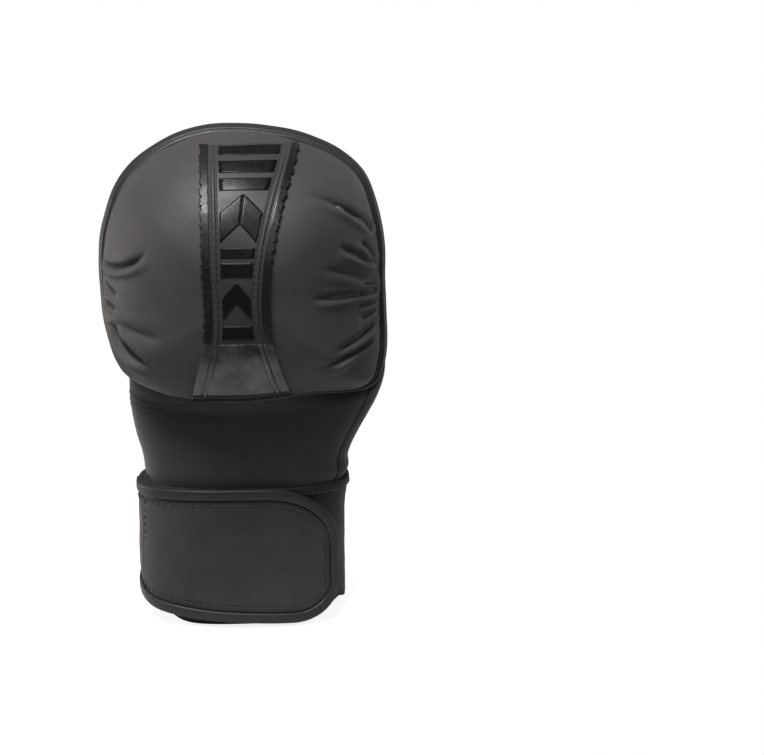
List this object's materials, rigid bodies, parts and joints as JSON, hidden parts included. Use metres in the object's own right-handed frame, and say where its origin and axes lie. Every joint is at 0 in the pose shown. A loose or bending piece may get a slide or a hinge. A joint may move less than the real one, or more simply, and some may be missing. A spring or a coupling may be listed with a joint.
{
  "type": "mma glove",
  "caption": "Left-hand sparring glove with a domed pad over open fingers, an open thumb hole, a bending wrist and a hook-and-loop strap; stands on its cuff",
  "frame": {"origin": "centre of the bottom of the glove's box, in the plane of the cuff's lower edge; the wrist's centre line stands 14.3 mm from it, on the palm side", "axes": "+Z from the cuff to the fingertips, -Y the back of the hand with the dome pad, +Y the palm, +X the thumb side"},
  "size_m": [0.1509, 0.1025, 0.2579],
  "materials": {
    "neoprene": "matte",
    "synthetic_leather": "satin",
    "binding": "matte",
    "foam": "matte",
    "lining": "matte",
    "hook_and_loop": "matte",
    "gloss_film": "gloss"
  },
  "bodies": {
    "cuff": {"cuff_shell": "neoprene", "cuff_lining": "lining", "cuff_bottom_binding": "binding", "cuff_top_binding": "binding", "loop_patch": "hook_and_loop", "entry_gusset": "lining", "wrist_sleeve": "lining", "strap_root": "synthetic_leather"},
    "strap": {"strap_face": "synthetic_leather", "strap_binding": "binding", "hook_patch": "hook_and_loop"},
    "hand": {"back_panel": "neoprene", "back_seam_binding": "binding", "thumb_gusset": "neoprene", "thumb_side_panel": "neoprene", "thumb_hole_lip": "binding", "palm_panel": "synthetic_leather", "palm_heel_panel": "synthetic_leather", "palm_heel_pad": "synthetic_leather", "little_side_panel": "neoprene", "palm_edge_binding": "binding", "pad_cover": "synthetic_leather", "pad_soft_foam": "foam", "pad_dense_foam": "foam", "pad_lining": "lining", "pad_rim_binding": "binding", "centre_band": "synthetic_leather", "band_bar_left": "gloss_film", "band_bar_right": "gloss_film", "band_label": "gloss_film"},
    "index_sling": {"index_loop": "lining"},
    "middle_sling": {"middle_loop": "lining"},
    "ring_sling": {"ring_loop": "lining"},
    "little_sling": {"little_loop": "lining"}
  },
  "joints": [
    {"name": "strap_open", "type": "hinge", "parent": "cuff", "child": "strap", "pos_m": [-0.0577, 0.0143, 0.038], "axis": [0, 0, -1], "range_deg": [0, 110]},
    {"name": "wrist_flex", "type": "hinge", "parent": "cuff", "child": "hand", "pos_m": [0, 0.0143, 0.079], "axis": [1, 0, 0], "range_deg": [-15, 15]},
    {"name": "index_loop_tilt", "type": "hinge", "parent": "hand", "child": "index_sling", "pos_m": [0.0385, 0.0021, 0.176], "axis": [-1, 0, 0], "range_deg": [0, 40]},
    {"name": "middle_loop_tilt", "type": "hinge", "parent": "hand", "child": "middle_sling", "pos_m": [0.013, -0.0084, 0.18], "axis": [-1, 0, 0], "range_deg": [0, 40]},
    {"name": "ring_loop_tilt", "type": "hinge", "parent": "hand", "child": "ring_sling", "pos_m": [-0.013, -0.0084, 0.178], "axis": [-1, 0, 0], "range_deg": [0, 40]},
    {"name": "little_loop_tilt", "type": "hinge", "parent": "hand", "child": "little_sling", "pos_m": [-0.0385, 0.0021, 0.172], "axis": [-1, 0, 0], "range_deg": [0, 40]}
  ]
}
